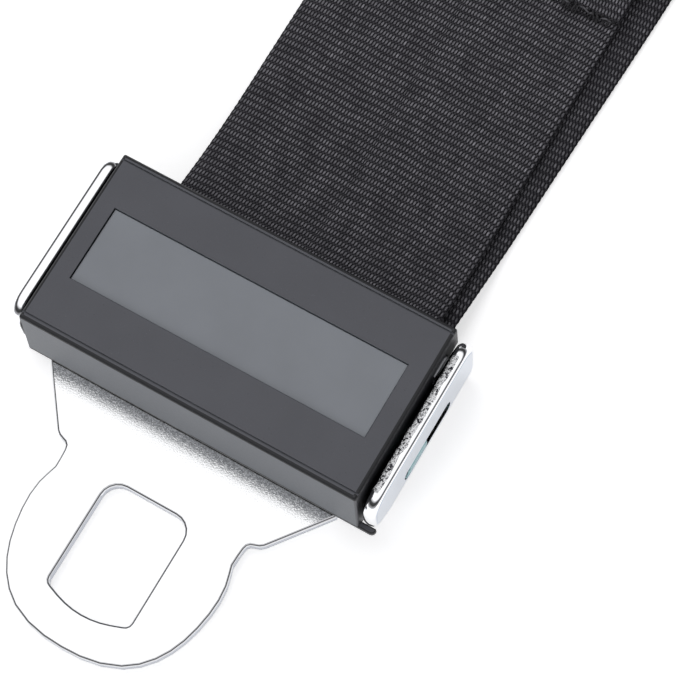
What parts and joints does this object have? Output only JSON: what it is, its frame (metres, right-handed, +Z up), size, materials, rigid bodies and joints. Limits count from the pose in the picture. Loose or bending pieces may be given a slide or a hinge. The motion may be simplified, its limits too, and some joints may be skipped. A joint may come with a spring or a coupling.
{
  "type": "seat belt extender",
  "caption": "Short vehicle seat belt extender: flat chromed tongue with a window and an adjuster housing, a black woven strap with a stitched tail, and a push-button buckle.",
  "frame": {"origin": "centre of the bounding box's underside, on the surface the extender lies on", "axes": "+Y along the strap from the tongue to the buckle, +Z up out of the housing's top, +X across the strap"},
  "size_m": [0.0678, 0.2426, 0.022],
  "materials": {
    "chromed_steel": "polished",
    "cover_plastic": "fine matte grain",
    "label_insert": "smooth semi-gloss, left bare",
    "zinc_bar": "blue-green zinc plating",
    "cross_steel": "satin",
    "webbing_black": "woven polyester",
    "buckle_plastic": "satin",
    "buckle_steel": "satin",
    "pin_steel": "satin",
    "latch_steel": "satin",
    "button_plastic": "semi-gloss red",
    "slider_steel": "satin",
    "ejector_plastic": "natural",
    "spring_steel": "drawn wire",
    "rivet_steel": "satin"
  },
  "bodies": {
    "housing": {"tongue_plate": "chromed_steel", "cover": "cover_plastic", "label_insert": "label_insert", "cross_bar": "cross_steel"},
    "strap_and_buckle": {"adjuster_bar": "zinc_bar", "webbing": "webbing_black", "buckle_lower_shell": "buckle_plastic", "buckle_upper_shell": "buckle_plastic", "buckle_frame": "buckle_steel", "anchor_pin": "pin_steel", "rivet_left": "rivet_steel", "rivet_right": "rivet_steel", "button_spring_left": "spring_steel", "button_spring_right": "spring_steel", "ejector_spring": "spring_steel", "latch_spring": "spring_steel"},
    "button": {"release_button": "button_plastic", "lock_slider": "slider_steel"},
    "latch": {"latch": "latch_steel"},
    "ejector": {"ejector": "ejector_plastic"}
  },
  "joints": [
    {"name": "adjust_slide", "type": "slide", "parent": "housing", "child": "strap_and_buckle", "axis": [0, 1, 0], "range_m": [-0.0018, 0.005]},
    {"name": "button_slide", "type": "slide", "parent": "strap_and_buckle", "child": "button", "axis": [0, -1, 0], "range_m": [0, 0.0045], "stiffness_N_per_m": 500, "springref_m": -0.004, "deforming": ["button_spring_left", "button_spring_right"]},
    {"name": "eject_slide", "type": "slide", "parent": "strap_and_buckle", "child": "ejector", "axis": [0, -1, 0], "range_m": [0, 0.009], "stiffness_N_per_m": 300, "springref_m": -0.005, "deforming": ["ejector_spring"]},
    {"name": "latch_pivot", "type": "hinge", "parent": "strap_and_buckle", "child": "latch", "pos_m": [0.00438, 0.0773, 0.0109], "axis": [1, 0, 0], "range_deg": [-9.3, 0], "deforming": ["latch_spring"]}
  ],
  "couplings": [
    {"joint": "latch_pivot", "follows": "eject_slide", "rad_per_m": -17.84}
  ]
}
